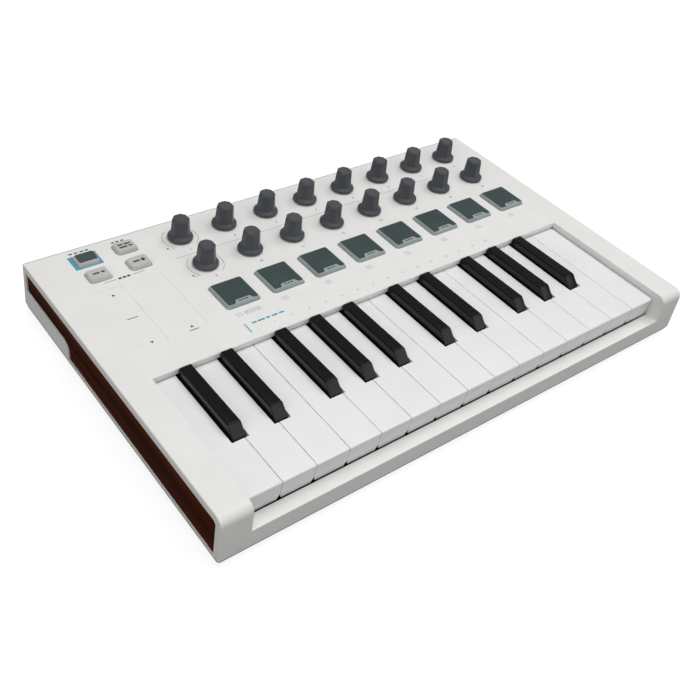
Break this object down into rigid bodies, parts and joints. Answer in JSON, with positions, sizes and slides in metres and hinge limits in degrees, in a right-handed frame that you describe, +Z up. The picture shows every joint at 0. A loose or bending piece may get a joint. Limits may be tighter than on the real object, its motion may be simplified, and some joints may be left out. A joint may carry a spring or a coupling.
{
  "type": "small keyboard controller",
  "caption": "Flat desktop keyboard controller with slim piano keys that tilt, knobs that turn without end, and square pads and buttons that press in.",
  "frame": {"origin": "on the table under the middle of the case, level with the undersides of the feet", "axes": "+X from the low notes to the high notes, +Y from the player to the back, +Z up"},
  "size_m": [0.355, 0.22, 0.0498],
  "materials": {
    "case_plastic": "fine satin texture",
    "base_steel": "smooth dark paint",
    "side_wood": "oiled, fine open grain",
    "frame_plastic": "plain moulded",
    "board_laminate": "smooth solder mask",
    "foot_rubber": "matt",
    "screw_steel": "plain turned",
    "white_key_plastic": "semi-gloss",
    "black_key_plastic": "fine matt texture",
    "knob_plastic": "soft matt",
    "pad_rubber": "matt",
    "button_plastic": "matt"
  },
  "bodies": {
    "case": {"top_case": "case_plastic", "base_plate": "base_steel", "wood_side_panels": "side_wood", "keybed_frame": "frame_plastic", "main_board": "board_laminate", "rubber_feet": "foot_rubber", "case_screws": "screw_steel"},
    "white_key_01_body": {"white_key_01": "white_key_plastic"},
    "white_key_02_body": {"white_key_02": "white_key_plastic"},
    "white_key_03_body": {"white_key_03": "white_key_plastic"},
    "white_key_04_body": {"white_key_04": "white_key_plastic"},
    "white_key_05_body": {"white_key_05": "white_key_plastic"},
    "white_key_06_body": {"white_key_06": "white_key_plastic"},
    "white_key_07_body": {"white_key_07": "white_key_plastic"},
    "white_key_08_body": {"white_key_08": "white_key_plastic"},
    "white_key_09_body": {"white_key_09": "white_key_plastic"},
    "white_key_10_body": {"white_key_10": "white_key_plastic"},
    "white_key_11_body": {"white_key_11": "white_key_plastic"},
    "white_key_12_body": {"white_key_12": "white_key_plastic"},
    "white_key_13_body": {"white_key_13": "white_key_plastic"},
    "white_key_14_body": {"white_key_14": "white_key_plastic"},
    "white_key_15_body": {"white_key_15": "white_key_plastic"},
    "black_key_01_body": {"black_key_01": "black_key_plastic"},
    "black_key_02_body": {"black_key_02": "black_key_plastic"},
    "black_key_03_body": {"black_key_03": "black_key_plastic"},
    "black_key_04_body": {"black_key_04": "black_key_plastic"},
    "black_key_05_body": {"black_key_05": "black_key_plastic"},
    "black_key_06_body": {"black_key_06": "black_key_plastic"},
    "black_key_07_body": {"black_key_07": "black_key_plastic"},
    "black_key_08_body": {"black_key_08": "black_key_plastic"},
    "black_key_09_body": {"black_key_09": "black_key_plastic"},
    "black_key_10_body": {"black_key_10": "black_key_plastic"},
    "knob_01_body": {"knob_01": "knob_plastic"},
    "knob_02_body": {"knob_02": "knob_plastic"},
    "knob_03_body": {"knob_03": "knob_plastic"},
    "knob_04_body": {"knob_04": "knob_plastic"},
    "knob_05_body": {"knob_05": "knob_plastic"},
    "knob_06_body": {"knob_06": "knob_plastic"},
    "knob_07_body": {"knob_07": "knob_plastic"},
    "knob_08_body": {"knob_08": "knob_plastic"},
    "knob_09_body": {"knob_09": "knob_plastic"},
    "knob_10_body": {"knob_10": "knob_plastic"},
    "knob_11_body": {"knob_11": "knob_plastic"},
    "knob_12_body": {"knob_12": "knob_plastic"},
    "knob_13_body": {"knob_13": "knob_plastic"},
    "knob_14_body": {"knob_14": "knob_plastic"},
    "knob_15_body": {"knob_15": "knob_plastic"},
    "knob_16_body": {"knob_16": "knob_plastic"},
    "pad_1_body": {"pad_1": "pad_rubber"},
    "pad_2_body": {"pad_2": "pad_rubber"},
    "pad_3_body": {"pad_3": "pad_rubber"},
    "pad_4_body": {"pad_4": "pad_rubber"},
    "pad_5_body": {"pad_5": "pad_rubber"},
    "pad_6_body": {"pad_6": "pad_rubber"},
    "pad_7_body": {"pad_7": "pad_rubber"},
    "pad_8_body": {"pad_8": "pad_rubber"},
    "button_1_body": {"button_1": "button_plastic"},
    "button_2_body": {"button_2": "button_plastic"},
    "button_3_body": {"button_3": "button_plastic"},
    "button_4_body": {"button_4": "button_plastic"}
  },
  "joints": [
    {"name": "white_key_01_press", "type": "hinge", "parent": "case", "child": "white_key_01_body", "pos_m": [-0.14747, 0.004, 0.0242], "axis": [1, 0, 0], "range_deg": [0, 3.2], "stiffness_Nm_per_rad": 0.5, "springref_deg": -5.73},
    {"name": "white_key_02_press", "type": "hinge", "parent": "case", "child": "white_key_02_body", "pos_m": [-0.1264, 0.004, 0.0242], "axis": [1, 0, 0], "range_deg": [0, 3.2], "stiffness_Nm_per_rad": 0.5, "springref_deg": -5.73},
    {"name": "white_key_03_press", "type": "hinge", "parent": "case", "child": "white_key_03_body", "pos_m": [-0.10533, 0.004, 0.0242], "axis": [1, 0, 0], "range_deg": [0, 3.2], "stiffness_Nm_per_rad": 0.5, "springref_deg": -5.73},
    {"name": "white_key_04_press", "type": "hinge", "parent": "case", "child": "white_key_04_body", "pos_m": [-0.08427, 0.004, 0.0242], "axis": [1, 0, 0], "range_deg": [0, 3.2], "stiffness_Nm_per_rad": 0.5, "springref_deg": -5.73},
    {"name": "white_key_05_press", "type": "hinge", "parent": "case", "child": "white_key_05_body", "pos_m": [-0.0632, 0.004, 0.0242], "axis": [1, 0, 0], "range_deg": [0, 3.2], "stiffness_Nm_per_rad": 0.5, "springref_deg": -5.73},
    {"name": "white_key_06_press", "type": "hinge", "parent": "case", "child": "white_key_06_body", "pos_m": [-0.04213, 0.004, 0.0242], "axis": [1, 0, 0], "range_deg": [0, 3.2], "stiffness_Nm_per_rad": 0.5, "springref_deg": -5.73},
    {"name": "white_key_07_press", "type": "hinge", "parent": "case", "child": "white_key_07_body", "pos_m": [-0.02107, 0.004, 0.0242], "axis": [1, 0, 0], "range_deg": [0, 3.2], "stiffness_Nm_per_rad": 0.5, "springref_deg": -5.73},
    {"name": "white_key_08_press", "type": "hinge", "parent": "case", "child": "white_key_08_body", "pos_m": [0, 0.004, 0.0242], "axis": [1, 0, 0], "range_deg": [0, 3.2], "stiffness_Nm_per_rad": 0.5, "springref_deg": -5.73},
    {"name": "white_key_09_press", "type": "hinge", "parent": "case", "child": "white_key_09_body", "pos_m": [0.02107, 0.004, 0.0242], "axis": [1, 0, 0], "range_deg": [0, 3.2], "stiffness_Nm_per_rad": 0.5, "springref_deg": -5.73},
    {"name": "white_key_10_press", "type": "hinge", "parent": "case", "child": "white_key_10_body", "pos_m": [0.04213, 0.004, 0.0242], "axis": [1, 0, 0], "range_deg": [0, 3.2], "stiffness_Nm_per_rad": 0.5, "springref_deg": -5.73},
    {"name": "white_key_11_press", "type": "hinge", "parent": "case", "child": "white_key_11_body", "pos_m": [0.0632, 0.004, 0.0242], "axis": [1, 0, 0], "range_deg": [0, 3.2], "stiffness_Nm_per_rad": 0.5, "springref_deg": -5.73},
    {"name": "white_key_12_press", "type": "hinge", "parent": "case", "child": "white_key_12_body", "pos_m": [0.08427, 0.004, 0.0242], "axis": [1, 0, 0], "range_deg": [0, 3.2], "stiffness_Nm_per_rad": 0.5, "springref_deg": -5.73},
    {"name": "white_key_13_press", "type": "hinge", "parent": "case", "child": "white_key_13_body", "pos_m": [0.10533, 0.004, 0.0242], "axis": [1, 0, 0], "range_deg": [0, 3.2], "stiffness_Nm_per_rad": 0.5, "springref_deg": -5.73},
    {"name": "white_key_14_press", "type": "hinge", "parent": "case", "child": "white_key_14_body", "pos_m": [0.1264, 0.004, 0.0242], "axis": [1, 0, 0], "range_deg": [0, 3.2], "stiffness_Nm_per_rad": 0.5, "springref_deg": -5.73},
    {"name": "white_key_15_press", "type": "hinge", "parent": "case", "child": "white_key_15_body", "pos_m": [0.14747, 0.004, 0.0242], "axis": [1, 0, 0], "range_deg": [0, 3.2], "stiffness_Nm_per_rad": 0.5, "springref_deg": -5.73},
    {"name": "black_key_01_press", "type": "hinge", "parent": "case", "child": "black_key_01_body", "pos_m": [-0.13943, 0.004, 0.0242], "axis": [1, 0, 0], "range_deg": [0, 3.6], "stiffness_Nm_per_rad": 0.4, "springref_deg": -5.73},
    {"name": "black_key_02_press", "type": "hinge", "parent": "case", "child": "black_key_02_body", "pos_m": [-0.11337, 0.004, 0.0242], "axis": [1, 0, 0], "range_deg": [0, 3.6], "stiffness_Nm_per_rad": 0.4, "springref_deg": -5.73},
    {"name": "black_key_03_press", "type": "hinge", "parent": "case", "child": "black_key_03_body", "pos_m": [-0.07723, 0.004, 0.0242], "axis": [1, 0, 0], "range_deg": [0, 3.6], "stiffness_Nm_per_rad": 0.4, "springref_deg": -5.73},
    {"name": "black_key_04_press", "type": "hinge", "parent": "case", "child": "black_key_04_body", "pos_m": [-0.05267, 0.004, 0.0242], "axis": [1, 0, 0], "range_deg": [0, 3.6], "stiffness_Nm_per_rad": 0.4, "springref_deg": -5.73},
    {"name": "black_key_05_press", "type": "hinge", "parent": "case", "child": "black_key_05_body", "pos_m": [-0.0281, 0.004, 0.0242], "axis": [1, 0, 0], "range_deg": [0, 3.6], "stiffness_Nm_per_rad": 0.4, "springref_deg": -5.73},
    {"name": "black_key_06_press", "type": "hinge", "parent": "case", "child": "black_key_06_body", "pos_m": [0.00803, 0.004, 0.0242], "axis": [1, 0, 0], "range_deg": [0, 3.6], "stiffness_Nm_per_rad": 0.4, "springref_deg": -5.73},
    {"name": "black_key_07_press", "type": "hinge", "parent": "case", "child": "black_key_07_body", "pos_m": [0.0341, 0.004, 0.0242], "axis": [1, 0, 0], "range_deg": [0, 3.6], "stiffness_Nm_per_rad": 0.4, "springref_deg": -5.73},
    {"name": "black_key_08_press", "type": "hinge", "parent": "case", "child": "black_key_08_body", "pos_m": [0.07023, 0.004, 0.0242], "axis": [1, 0, 0], "range_deg": [0, 3.6], "stiffness_Nm_per_rad": 0.4, "springref_deg": -5.73},
    {"name": "black_key_09_press", "type": "hinge", "parent": "case", "child": "black_key_09_body", "pos_m": [0.0948, 0.004, 0.0242], "axis": [1, 0, 0], "range_deg": [0, 3.6], "stiffness_Nm_per_rad": 0.4, "springref_deg": -5.73},
    {"name": "black_key_10_press", "type": "hinge", "parent": "case", "child": "black_key_10_body", "pos_m": [0.11937, 0.004, 0.0242], "axis": [1, 0, 0], "range_deg": [0, 3.6], "stiffness_Nm_per_rad": 0.4, "springref_deg": -5.73},
    {"name": "knob_01_turn", "type": "hinge", "parent": "case", "child": "knob_01_body", "pos_m": [-0.0827, 0.0902, 0.035], "axis": [0, 0, 1], "continuous": true},
    {"name": "knob_02_turn", "type": "hinge", "parent": "case", "child": "knob_02_body", "pos_m": [-0.0502, 0.0902, 0.035], "axis": [0, 0, 1], "continuous": true},
    {"name": "knob_03_turn", "type": "hinge", "parent": "case", "child": "knob_03_body", "pos_m": [-0.0177, 0.0902, 0.035], "axis": [0, 0, 1], "continuous": true},
    {"name": "knob_04_turn", "type": "hinge", "parent": "case", "child": "knob_04_body", "pos_m": [0.0148, 0.0902, 0.035], "axis": [0, 0, 1], "continuous": true},
    {"name": "knob_05_turn", "type": "hinge", "parent": "case", "child": "knob_05_body", "pos_m": [0.0473, 0.0902, 0.035], "axis": [0, 0, 1], "continuous": true},
    {"name": "knob_06_turn", "type": "hinge", "parent": "case", "child": "knob_06_body", "pos_m": [0.0798, 0.0902, 0.035], "axis": [0, 0, 1], "continuous": true},
    {"name": "knob_07_turn", "type": "hinge", "parent": "case", "child": "knob_07_body", "pos_m": [0.1123, 0.0902, 0.035], "axis": [0, 0, 1], "continuous": true},
    {"name": "knob_08_turn", "type": "hinge", "parent": "case", "child": "knob_08_body", "pos_m": [0.1448, 0.0902, 0.035], "axis": [0, 0, 1], "continuous": true},
    {"name": "knob_09_turn", "type": "hinge", "parent": "case", "child": "knob_09_body", "pos_m": [-0.0827, 0.0595, 0.035], "axis": [0, 0, 1], "continuous": true},
    {"name": "knob_10_turn", "type": "hinge", "parent": "case", "child": "knob_10_body", "pos_m": [-0.0502, 0.0595, 0.035], "axis": [0, 0, 1], "continuous": true},
    {"name": "knob_11_turn", "type": "hinge", "parent": "case", "child": "knob_11_body", "pos_m": [-0.0177, 0.0595, 0.035], "axis": [0, 0, 1], "continuous": true},
    {"name": "knob_12_turn", "type": "hinge", "parent": "case", "child": "knob_12_body", "pos_m": [0.0148, 0.0595, 0.035], "axis": [0, 0, 1], "continuous": true},
    {"name": "knob_13_turn", "type": "hinge", "parent": "case", "child": "knob_13_body", "pos_m": [0.0473, 0.0595, 0.035], "axis": [0, 0, 1], "continuous": true},
    {"name": "knob_14_turn", "type": "hinge", "parent": "case", "child": "knob_14_body", "pos_m": [0.0798, 0.0595, 0.035], "axis": [0, 0, 1], "continuous": true},
    {"name": "knob_15_turn", "type": "hinge", "parent": "case", "child": "knob_15_body", "pos_m": [0.1123, 0.0595, 0.035], "axis": [0, 0, 1], "continuous": true},
    {"name": "knob_16_turn", "type": "hinge", "parent": "case", "child": "knob_16_body", "pos_m": [0.1448, 0.0595, 0.035], "axis": [0, 0, 1], "continuous": true},
    {"name": "pad_1_press", "type": "slide", "parent": "case", "child": "pad_1_body", "axis": [0, 0, -1], "range_m": [0, 0.0008], "stiffness_N_per_m": 600, "springref_m": -0.0012},
    {"name": "pad_2_press", "type": "slide", "parent": "case", "child": "pad_2_body", "axis": [0, 0, -1], "range_m": [0, 0.0008], "stiffness_N_per_m": 600, "springref_m": -0.0012},
    {"name": "pad_3_press", "type": "slide", "parent": "case", "child": "pad_3_body", "axis": [0, 0, -1], "range_m": [0, 0.0008], "stiffness_N_per_m": 600, "springref_m": -0.0012},
    {"name": "pad_4_press", "type": "slide", "parent": "case", "child": "pad_4_body", "axis": [0, 0, -1], "range_m": [0, 0.0008], "stiffness_N_per_m": 600, "springref_m": -0.0012},
    {"name": "pad_5_press", "type": "slide", "parent": "case", "child": "pad_5_body", "axis": [0, 0, -1], "range_m": [0, 0.0008], "stiffness_N_per_m": 600, "springref_m": -0.0012},
    {"name": "pad_6_press", "type": "slide", "parent": "case", "child": "pad_6_body", "axis": [0, 0, -1], "range_m": [0, 0.0008], "stiffness_N_per_m": 600, "springref_m": -0.0012},
    {"name": "pad_7_press", "type": "slide", "parent": "case", "child": "pad_7_body", "axis": [0, 0, -1], "range_m": [0, 0.0008], "stiffness_N_per_m": 600, "springref_m": -0.0012},
    {"name": "pad_8_press", "type": "slide", "parent": "case", "child": "pad_8_body", "axis": [0, 0, -1], "range_m": [0, 0.0008], "stiffness_N_per_m": 600, "springref_m": -0.0012},
    {"name": "button_1_press", "type": "slide", "parent": "case", "child": "button_1_body", "axis": [0, 0, -1], "range_m": [0, 0.001], "stiffness_N_per_m": 250, "springref_m": -0.002},
    {"name": "button_2_press", "type": "slide", "parent": "case", "child": "button_2_body", "axis": [0, 0, -1], "range_m": [0, 0.001], "stiffness_N_per_m": 250, "springref_m": -0.002},
    {"name": "button_3_press", "type": "slide", "parent": "case", "child": "button_3_body", "axis": [0, 0, -1], "range_m": [0, 0.001], "stiffness_N_per_m": 250, "springref_m": -0.002},
    {"name": "button_4_press", "type": "slide", "parent": "case", "child": "button_4_body", "axis": [0, 0, -1], "range_m": [0, 0.001], "stiffness_N_per_m": 250, "springref_m": -0.002}
  ]
}
